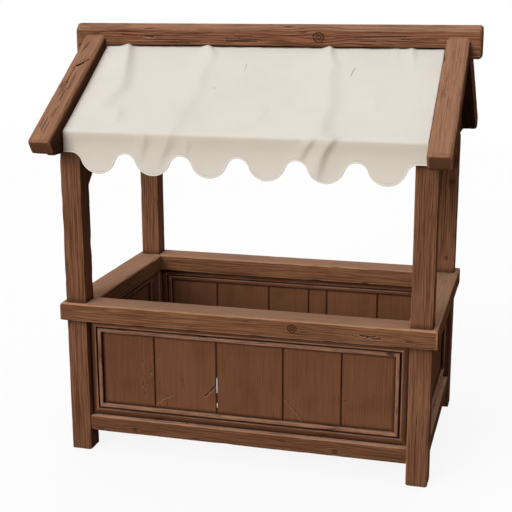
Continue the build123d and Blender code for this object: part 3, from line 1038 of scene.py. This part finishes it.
for y_sign in (-1, 1):
    groove = [face for face in timber.faces
              if face.normal.y * y_sign > 0.99 and groove_low < face.calc_center_median().z < groove_high
              and abs(face.calc_center_median().x) < canvas_half]
    grown = bmesh.ops.extrude_face_region(timber, geom=groove)["geom"]
    groove_floor = [item for item in grown if isinstance(item, bmesh.types.BMVert)]
    bmesh.ops.translate(timber, verts=groove_floor, vec=(0, -y_sign * groove_depth, 0))
    bmesh.ops.delete(timber, geom=groove, context="FACES_ONLY")
set_timber(timber, ridge_cells, Matrix.Translation(ridge_middle), "ridge_beam", ridge_finish, "roof_timber",
           wear=0.005, bow=0.0012, knots=ridge_knots, knot_size=2.35, soil=ridge_soil)

# Eave rails
# Light rails from rafter to rafter under the fold of the canvas, with their tops planed to the
# slope. The sheet is pulled over them.

eave_arris = 0.006
eave_cells = (0.030, 0.013)
for end_name, turn in (("front", pi), ("back", 0.0)):
    node = f"eave_rail_{end_name}"
    low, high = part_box(node)
    size = high - low
    half_depth, half_height = size.y / 2, size.z / 2
    outline = [(-half_depth, -half_height), (half_depth, -half_height),
               (half_depth, half_height - size.y * tan(roof_pitch)), (-half_depth, half_height)]
    timber = prism(outline, size.x)
    timber.transform(lay_along)
    ease_arrises(timber, eave_arris)
    place = Matrix.Translation((low + high) / 2) @ Matrix.Rotation(turn, 4, "Z")
    set_timber(timber, eave_cells, place, node, brace_finish, "post_timber", wear=0.002, bow=0.0)

# Canvas
# One sheet of unbleached canvas for each slope, tacked into the ridge's groove, pulled over the eave
# rail and left to hang as a scalloped valance with a rolled hem. Tension folds run down from the tacks.

fold_y = valance_low.y
fold_z = valance_high.z
ridge_gap = 0.010
tuck = 0.023
fold_radius = 0.024
fold_turn = pi / 2 - roof_pitch
fold_tangent = fold_radius * tan(fold_turn / 2)
slope_length = (ridge_low.y - fold_y - ridge_gap) / cos(roof_pitch)
straight_length = slope_length - fold_tangent
arc_length = fold_radius * fold_turn
slope_rows = 60
arc_rows = 8
valance_rows = 30
sheet_rows = slope_rows + arc_rows + valance_rows
sheet_columns = 360
canvas_thickness = 0.003
hem_radius = 0.0042
valance_end = 0.047
valance_short = 0.118
valance_long = fold_z - valance_low.z
lobes = 6
lobe_radius_share = 0.6
fold_left_share = 1.9
crease_step = 0.004
crease_steepest = 0.45
sag = 0.006
sag_wave = 0.005
sag_ripple = 0.0012
pucker = 0.0022
pucker_reach = 0.05
billow_depth = 0.011
hang_full = valance_long - 0.02
hang_out = 0.006
hang_in = 0.006
rail_hold = 0.08
rail_give = 0.002
cloth_drift = 0.003
# Folds of each sheet, as points: distance down the sheet, x, lift and width
front_folds = (
    ((-0.03, -0.900, 0.018, 0.020), (0.083, -0.878, 0.019, 0.038), (0.184, -0.862, 0.021, 0.045),
     (0.304, -0.836, 0.018, 0.050), (0.420, -0.836, 0.016, 0.054), (0.535, -0.878, 0.013, 0.056),
     (0.660, -0.915, 0.0, 0.056)),
    ((0.55, -0.775, 0.0, 0.040), (0.64, -0.765, 0.009, 0.040), (0.73, -0.760, 0.0, 0.040)),
    ((-0.03, -0.383, 0.016, 0.018), (0.071, -0.340, 0.008, 0.036), (0.171, -0.357, 0.007, 0.045),
     (0.289, -0.362, 0.008, 0.050), (0.403, -0.340, 0.007, 0.055), (0.517, -0.373, 0.007, 0.055),
     (0.627, -0.383, 0.007, 0.054), (0.716, -0.385, 0.007, 0.050), (0.800, -0.400, 0.007, 0.038),
     (0.880, -0.422, 0.011, 0.034), (0.950, -0.455, 0.007, 0.032), (1.040, -0.470, 0.0, 0.030)),
    ((-0.03, 0.372, 0.016, 0.018), (0.055, 0.384, 0.010, 0.030), (0.152, 0.420, 0.009, 0.042),
     (0.266, 0.416, 0.010, 0.052), (0.377, 0.430, 0.011, 0.058), (0.485, 0.450, 0.012, 0.060),
     (0.591, 0.447, 0.014, 0.060), (0.678, 0.438, 0.014, 0.056), (0.762, 0.454, 0.012, 0.050),
     (0.870, 0.465, 0.0, 0.045)),
    ((-0.03, 0.858, 0.010, 0.014), (0.05, 0.868, 0.005, 0.020), (0.12, 0.880, 0.003, 0.026),
     (0.22, 0.890, 0.0, 0.030)),
    ((-0.03, 0.770, 0.005, 0.014), (0.05, 0.776, 0.003, 0.020), (0.16, 0.784, 0.0, 0.026)),
    ((0.38, 0.715, 0.0, 0.045), (0.47, 0.709, 0.005, 0.045), (0.62, 0.700, 0.0, 0.045)),
    ((0.50, 0.090, 0.0, 0.035), (0.58, 0.084, 0.006, 0.035), (0.70, 0.062, 0.0, 0.035)),
    ((0.79, 0.430, 0.0, 0.018), (0.84, 0.395, 0.011, 0.022), (0.90, 0.362, 0.009, 0.024),
     (0.98, 0.335, 0.0, 0.024)),
    ((0.77, 0.560, 0.0, 0.024), (0.83, 0.512, 0.016, 0.028), (0.90, 0.472, 0.018, 0.030),
     (0.98, 0.452, 0.013, 0.030), (1.07, 0.435, 0.0, 0.030)),
    ((0.79, -0.548, 0.0, 0.022), (0.86, -0.552, 0.009, 0.024), (0.98, -0.578, 0.0, 0.026)),
    ((0.83, -0.304, 0.0, 0.015), (0.87, -0.294, 0.005, 0.016), (0.94, -0.302, 0.0, 0.016)),
)
back_folds = (
    ((-0.03, -0.700, 0.016, 0.018), (0.15, -0.680, 0.012, 0.034), (0.35, -0.655, 0.012, 0.050),
     (0.55, -0.690, 0.009, 0.048), (0.78, -0.730, 0.012, 0.034), (0.90, -0.740, 0.012, 0.028),
     (1.02, -0.750, 0.0, 0.030)),
    ((-0.03, 0.080, 0.016, 0.018), (0.15, 0.100, 0.012, 0.034), (0.35, 0.090, 0.012, 0.052),
     (0.60, 0.050, 0.009, 0.054), (0.80, 0.020, 0.0, 0.050)),
    ((-0.03, 0.760, 0.015, 0.018), (0.20, 0.742, 0.011, 0.040), (0.40, 0.760, 0.010, 0.050),
     (0.62, 0.800, 0.0, 0.050)),
    ((0.79, 0.312, 0.0, 0.018), (0.86, 0.286, 0.014, 0.022), (0.93, 0.270, 0.012, 0.024),
     (1.02, 0.262, 0.0, 0.026)),
    ((0.79, -0.372, 0.0, 0.018), (0.87, -0.390, 0.011, 0.022), (1.00, -0.412, 0.0, 0.026)),
)


def valance_edge(x):
    """Height of the scalloped edge below the fold at a place x along the valance."""
    end_x = canvas_half - valance_end
    if abs(x) >= end_x:
        return valance_short
    pitch = 2 * end_x / lobes
    turn = 2 * atan(2 * (valance_long - valance_short) / pitch)
    radii = pitch / (2 * sin(turn))
    lobe_radius = radii * lobe_radius_share
    gap_radius = radii - lobe_radius
    from_middle = abs((x + end_x) % pitch - pitch / 2)
    if from_middle <= lobe_radius * sin(turn):
        return valance_long - lobe_radius + (lobe_radius ** 2 - from_middle ** 2) ** 0.5
    from_gap = pitch / 2 - from_middle
    return valance_short + gap_radius - (gap_radius ** 2 - from_gap ** 2) ** 0.5


def sheet_line(distance):
    """Point (y, z) and outward direction of the taut sheet at a distance down from the ridge."""
    slope_y, slope_z = -cos(roof_pitch), -sin(roof_pitch)
    start_y = ridge_low.y - ridge_gap
    start_z = fold_z + slope_length * sin(roof_pitch)
    if distance <= straight_length:
        spot = (start_y + slope_y * distance, start_z + slope_z * distance)
        return spot, (-sin(roof_pitch), cos(roof_pitch))
    turned = min(1.0, (distance - straight_length) / arc_length) * fold_turn
    centre_y = start_y + slope_y * straight_length + fold_radius * sin(roof_pitch)
    centre_z = start_z + slope_z * straight_length - fold_radius * cos(roof_pitch)
    out = (-sin(roof_pitch + turned), cos(roof_pitch + turned))
    hang = max(0.0, distance - straight_length - arc_length)
    return (centre_y + fold_radius * out[0], centre_z + fold_radius * out[1] - hang), out


def smooth(value):
    """Ease a share between nought and one."""
    share = min(1.0, max(0.0, value))
    return share * share * (3 - 2 * share)


@cache
def fold_at(points, down):
    """Middle, lift and width of a fold at a distance down the sheet, on a smooth curve through its points."""
    after = next(index for index, point in enumerate(points) if point[0] >= down and index > 0)
    first, second = Vector(points[after - 1]), Vector(points[after])
    before = Vector(points[max(0, after - 2)])
    beyond = Vector(points[min(len(points) - 1, after + 1)])
    span = second[0] - first[0]
    share = (down - first[0]) / span
    first_rate = (second - before) * span / (second[0] - before[0])
    second_rate = (beyond - first) * span / (beyond[0] - first[0])
    eased = smooth(share)
    spot = first * (1 - eased) + second * eased
    spot += first_rate * share * (1 - share) ** 2 - second_rate * share ** 2 * (1 - share)
    return spot[1], max(0.0, spot[2]), spot[3]


def fold_lift(x, distance, folds):
    """How far the folds lift the sheet at a place on it."""
    lift = 0.0
    for points in folds:
        if points[0][0] <= distance <= points[-1][0]:
            middle, height, width = fold_at(points, round(distance, 4))
            aside = (x - middle) / width
            lift += height * exp(-(aside / (fold_left_share if aside < 0 else 1.0)) ** 2)
    return lift


def wave(*place):
    """Chance value that changes smoothly from place to place."""
    return noise.noise(Vector(place))


def sheet_point(x, down, folds, seed):
    """Point of the sheet at x and a share of the way down, its distance down, and what is left below it."""
    hang_start = straight_length + arc_length
    edge = hang_start + valance_edge(x) - (fold_z - sheet_line(hang_start)[0][1])
    row = down * sheet_rows
    if row <= slope_rows:
        distance = -tuck + (straight_length + tuck) * row / slope_rows
    elif row <= slope_rows + arc_rows:
        distance = straight_length + arc_length * (row - slope_rows) / arc_rows
    else:
        distance = hang_start + (edge - hang_start) * (row - slope_rows - arc_rows) / valance_rows
    (y, z), (out_y, out_z) = sheet_line(distance)
    hanging = max(0.0, distance - slope_length) / hang_full
    slack = sin(pi * min(1.0, max(0.0, distance / slope_length)))
    lift = fold_lift(x, distance, folds)
    lift += slack * (sag_wave * wave(x * 2.0, distance * 1.7, seed)
                     + sag_ripple * wave(x * 7.0, distance * 4.0, seed + 5.0) - sag)
    lift += pucker * wave(x * 17.0, seed, 1.5) * exp(-max(0.0, distance) / pucker_reach)
    billow = wave(x * 4.1, seed, 9.0) + 0.4 * wave(x * 9.5, hanging * 0.8, seed + 2.0)
    lift += hanging * (billow_depth * billow + hang_out)
    if distance > slope_length - rail_hold:
        lift = max(lift, -rail_give - hang_in * hanging)
    across = x + cloth_drift * slack * wave(x, distance * 3.0, seed + 7.0)
    return Vector((across, y + out_y * lift, z + out_z * lift)), distance, edge - distance


def fold_flank_shade_share(x, distance, folds):
    """Share of painted shade on the steep side of a fold."""
    fall = fold_lift(x, distance, folds) - fold_lift(x + crease_step, distance, folds)
    return min(1.0, max(0.0, fall / crease_step / crease_steepest))


def make_canvas_weave():
    """Plain weave of heavy yarn, with slubs and a soft uneven cast."""
    results = dict.fromkeys(("Cast", "Slub", "Height"), "NodeSocketFloat")
    tree, given, gives = new_group("canvas_weave", {"Cloth": "NodeSocketVector"}, results)
    cloth = given["Cloth"]
    threads = {"Vector": cloth, "Scale": 130.0, "Distortion": 0.6}
    yarn, pick = [add_node(tree, "ShaderNodeTexWave", threads, wave_type="BANDS",
                           bands_direction=axis).outputs["Fac"] for axis in ("X", "Y")]
    weave = calculate(tree, "MULTIPLY", yarn, pick)
    slubs = calculate(tree, "MAXIMUM", streaked_noise(tree, cloth, (14.0, 300.0, 1.0)),
                      streaked_noise(tree, cloth, (300.0, 14.0, 1.0)))
    tree.links.new(streaked_noise(tree, cloth, (3.2, 4.2, 1.0), 5.0, 0.6), gives["Cast"])
    tree.links.new(slubs, gives["Slub"])
    tree.links.new(calculate(tree, "MULTIPLY_ADD", slubs, 0.5, weave), gives["Height"])
    return tree


canvas_weave = make_canvas_weave()


def canvas_finish(name, lit_and_faded, shaded, grey_and_shade):
    """Undyed canvas: a lit colour on the slope, a painted shaded colour on the valance that turns paler
    toward the lobes as painted light, painted shade under the fold and on the steep side of each fold, and a
    stitch line at the hem.
    """
    toward_hem_colour, stitch_colour = "DFD8CD", "8A7C6C"
    stitch_height, fold_shade_reach = 0.009, 0.030
    material, tree, shader = new_material(name)
    cloth = attribute(tree, "cloth", "Vector")
    down = component(tree, cloth, "Y")
    weave = add_node(tree, "ShaderNodeGroup", {"Cloth": cloth}, node_tree=canvas_weave).outputs
    # The valance takes the shaded colour: painted shade where the cloth hangs
    hangs = ramp(tree, down, straight_length, straight_length + arc_length)
    # Painted light: the valance lighter toward its lobes, away from the fold
    lighter_toward_hem = ramp(tree, down, slope_length + 0.04, slope_length + valance_long, 0.0, 0.45)
    uneven = ramp(tree, weave["Cast"], 0.40, 0.75, 0.0, 0.10)
    slubs = ramp(tree, weave["Slub"], 0.62, 0.80, 0.0, 0.25)
    # Painted shade in a band just under the fold
    under_fold_shade = calculate(tree, "MULTIPLY", ramp(tree, down, slope_length, slope_length + fold_shade_reach, 0.0, 0.24),
                      ramp(tree, down, slope_length + fold_shade_reach, slope_length + 0.11, 1.0, 0.0))
    # Painted shade on the steep side of each fold
    fold_flank_shaded = calculate(tree, "MULTIPLY", attribute(tree, "fold_flank_shade", "Fac"), 0.18)
    from_seam = calculate(tree, "SUBTRACT", component(tree, cloth, "Z"), stitch_height)
    stitched = ramp(tree, calculate(tree, "ABSOLUTE", from_seam), 0.0015, 0.0045, 0.18, 0.0)
    fabric = layered(tree, colour(lit_and_faded), (hangs, shaded), (lighter_toward_hem, toward_hem_colour), (uneven, grey_and_shade),
                     (slubs, grey_and_shade), (under_fold_shade, grey_and_shade), (fold_flank_shaded, grey_and_shade), (stitched, stitch_colour))
    bump = add_node(tree, "ShaderNodeBump", {"Height": weave["Height"], "Strength": 0.35, "Distance": 0.0012})
    tree.links.new(fabric, shader.inputs["Base Color"])
    tree.links.new(bump.outputs["Normal"], shader.inputs["Normal"])
    shader.inputs["Roughness"].default_value = 0.92
    shader.inputs["Specular IOR Level"].default_value = 0.12
    return material


# Lit colour of the slope, painted shaded colour of the valance, and grey
sheet_finishes = {end_name: canvas_finish(f"canvas_{end_name}_cloth", "D0CAC2", "CBC2B4", "ADA293")
                  for end_name in ("front", "back")}
hem_finish = canvas_finish("canvas_hem", "DED5C8", "DED5C8", "C4B8A8")
# Small tears of the front sheet: points (x, distance down), width, and how dark and pale each is
front_tears = (
    (((-0.104, 0.140, 0), (-0.099, 0.175, 0), (-0.101, 0.210, 0)), 0.0022, 0.55, 0.0),
    (((0.556, 0.160, 0), (0.546, 0.195, 0), (0.541, 0.240, 0)), 0.0026, 0.70, 0.0),
    (((-0.252, 0.362, 0), (-0.240, 0.378, 0)), 0.0026, 0.45, 0.0),
)
front_tree = sheet_finishes["front"].node_tree
flat_cloth = vectors(front_tree, "MULTIPLY", attribute(front_tree, "cloth", "Vector"), (1.0, 1.0, 0.0))
score(sheet_finishes["front"], front_tears, "E4DED6", "6E6152", flat_cloth)
for end_name, turn, folds, seed in (("front", 0.0, front_folds, 2.0), ("back", pi, back_folds, 31.0)):
    facing = Matrix.Rotation(turn, 4, "Z")
    cloth = bmesh.new()
    cloth.verts.layers.float_vector.new("cloth")
    fold_flank_shade = cloth.verts.layers.float.new("fold_flank_shade")
    cloth_place = cloth.verts.layers.float_vector["cloth"]
    bmesh.ops.create_grid(cloth, x_segments=sheet_columns, y_segments=sheet_rows, size=1.0)
    for vert in cloth.verts:
        x, down = vert.co.x * canvas_half, (1 - vert.co.y) / 2
        vert.co, distance, above_hem = sheet_point(x, down, folds, seed)
        vert[cloth_place] = (x, distance, above_hem)
        vert[fold_flank_shade] = fold_flank_shade_share(x, distance, folds)
    cloth.transform(facing)
    for face in cloth.faces:
        face.smooth = True
    mesh = bpy.data.meshes.new(f"canvas_{end_name}_sheet")
    cloth.to_mesh(mesh)
    cloth.free()
    mesh.materials.append(sheet_finishes[end_name])
    sheet = add_object(mesh.name, mesh)
    thickness = sheet.modifiers.new("thickness", "SOLIDIFY")
    thickness.thickness = canvas_thickness
    thickness.offset = -1.0
    line = bpy.data.curves.new("hem_line", "CURVE")
    line.dimensions = "3D"
    line.bevel_depth = hem_radius
    line.bevel_resolution = 3
    line.use_fill_caps = True
    spline = line.splines.new("POLY")
    edge_shares = [-1.0 + 2 * step / sheet_columns for step in range(sheet_columns + 1)]
    spline.points.add(len(edge_shares) - 1)
    for point, across in zip(spline.points, edge_shares):
        spot = sheet_point(across * canvas_half, 1.0, folds, seed)[0]
        point.co = (*(facing @ (spot + Vector((0, canvas_thickness / 2, 0)))), 1.0)
    hem_curve = add_object("hem_line", line)
    rolled = hem_curve.evaluated_get(bpy.context.evaluated_depsgraph_get())
    hem_mesh = bpy.data.meshes.new_from_object(rolled)
    bpy.data.objects.remove(hem_curve)
    hem_mesh.name = f"canvas_{end_name}_hem"
    hem_mesh.materials.clear()
    hem_mesh.materials.append(hem_finish)
    hem_cloth = hem_mesh.attributes.new("cloth", "FLOAT_VECTOR", "POINT")
    for vert, value in zip(hem_mesh.vertices, hem_cloth.data):
        value.vector = (vert.co.x, vert.co.z, 1.0)
    hem_mesh.shade_smooth()
    hem = add_object(hem_mesh.name, hem_mesh)
    for piece in (sheet, hem):
        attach(piece, "root")
    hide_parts(f"canopy_{end_name}", f"valance_{end_name}")

# Floor and light
# A plain pale studio floor and soft lamps: two from the front left, a wide one from above, one from
# the back, a weak one from the right and a spot under the canopy, in a weak even light all round. The
# stage shows white and keeps the stall's soft shadow.

floor_half = 14.0
floor = bmesh.new()
bmesh.ops.create_grid(floor, x_segments=1, y_segments=1, size=floor_half)
floor_mesh = bpy.data.meshes.new("studio_floor")
floor.to_mesh(floor_mesh)
floor.free()
studio_floor = add_object("studio_floor", floor_mesh)


def seen_directly(tree):
    """One for rays from the camera, a mirror or glass, and nought for light that bounces."""
    path = add_node(tree, "ShaderNodeLightPath").outputs
    either = calculate(tree, "ADD", path["Is Camera Ray"], path["Is Glossy Ray"])
    return calculate(tree, "ADD", either, path["Is Transmission Ray"], clamp=True)


plain_white = (1.0, 1.0, 1.0, 1.0)
floor_paint, tree = new_material("floor_paint")[:2]
tree.nodes.clear()
pale = add_node(tree, "ShaderNodeBsdfDiffuse", {"Color": (0.85, 0.85, 0.85, 1.0)}).outputs[0]
dim = add_node(tree, "ShaderNodeBsdfDiffuse", {"Color": (0.16, 0.15, 0.14, 1.0)}).outputs[0]
white = add_node(tree, "ShaderNodeEmission", {"Color": plain_white, "Strength": 1.0}).outputs[0]
shown = add_node(tree, "ShaderNodeMixShader", {0: 0.88, 1: pale, 2: white}).outputs[0]
surface = add_node(tree, "ShaderNodeMixShader", {0: seen_directly(tree), 1: dim, 2: shown}).outputs[0]
add_node(tree, "ShaderNodeOutputMaterial", {"Surface": surface})
floor_mesh.materials.append(floor_paint)

surround = bpy.data.worlds.new("studio_surround")
bpy.context.scene.world = surround
surround.use_nodes = True
tree = surround.node_tree
tree.nodes.clear()
soft = add_node(tree, "ShaderNodeBackground", {"Color": (1.0, 0.98, 0.96, 1.0), "Strength": 0.15}).outputs[0]
white = add_node(tree, "ShaderNodeBackground", {"Color": plain_white, "Strength": 1.0}).outputs[0]
shown = add_node(tree, "ShaderNodeMixShader", {0: seen_directly(tree), 1: soft, 2: white}).outputs[0]
add_node(tree, "ShaderNodeOutputWorld", {"Surface": shown})


def studio_lamp(name, kind, towards, strength):
    """Lamp that shines from a direction, given as seen from the stall."""
    lamp = add_object(name, bpy.data.lights.new(name, kind))
    lamp.rotation_euler = Vector(towards).to_track_quat("Z", "Y").to_euler()
    lamp.data.energy = strength
    return lamp


for name, towards, strength, spread in (
        ("key_lamp", (-0.42, -1.0, 0.56), 1.32, 30),
        ("low_lamp", (-0.36, -1.0, 0.14), 1.66, 40),
        ("top_lamp", (-0.15, -0.05, 1.0), 1.45, 70),
        ("back_lamp", (0.05, 1.0, 0.45), 1.2, 60),
        ("side_lamp", (1.0, -0.45, 0.12), 0.28, 60)):
    studio_lamp(name, "SUN", towards, strength).data.angle = radians(spread)
canopy_lamp = studio_lamp("canopy_lamp", "SPOT", (0.0, -1.20, 0.64), 30.0)
canopy_lamp.location = (0.0, -0.66, 1.66)
canopy_lamp.visible_camera = False
canopy_lamp.data.spot_size = radians(98)
canopy_lamp.data.spot_blend = 0.6
canopy_lamp.data.shadow_soft_size = 0.25

# Camera
# Stands to the right of the front and a little above the ridge, with a long lens, as in the
# photograph. Its place, turn and lens were solved from the edges seen there.

camera_place = Vector((1.6492, -6.4197, 2.7766))
camera_yaw = radians(15.2542)
camera_pitch = radians(-13.9043)
camera_roll = radians(-0.1623)
camera = bpy.data.cameras.new("studio_camera")
camera.sensor_width = 36.0
camera.lens = 75.596
camera.clip_end = 100.0
camera_object = add_object("studio_camera", camera)
camera_object.matrix_world = (Matrix.Translation(camera_place) @ Matrix.Rotation(camera_yaw, 4, "Z")
                              @ Matrix.Rotation(pi / 2 + camera_pitch, 4, "X")
                              @ Matrix.Rotation(camera_roll, 4, "Z"))
bpy.context.scene.camera = camera_object
bpy.context.scene.view_settings.view_transform = "Standard"
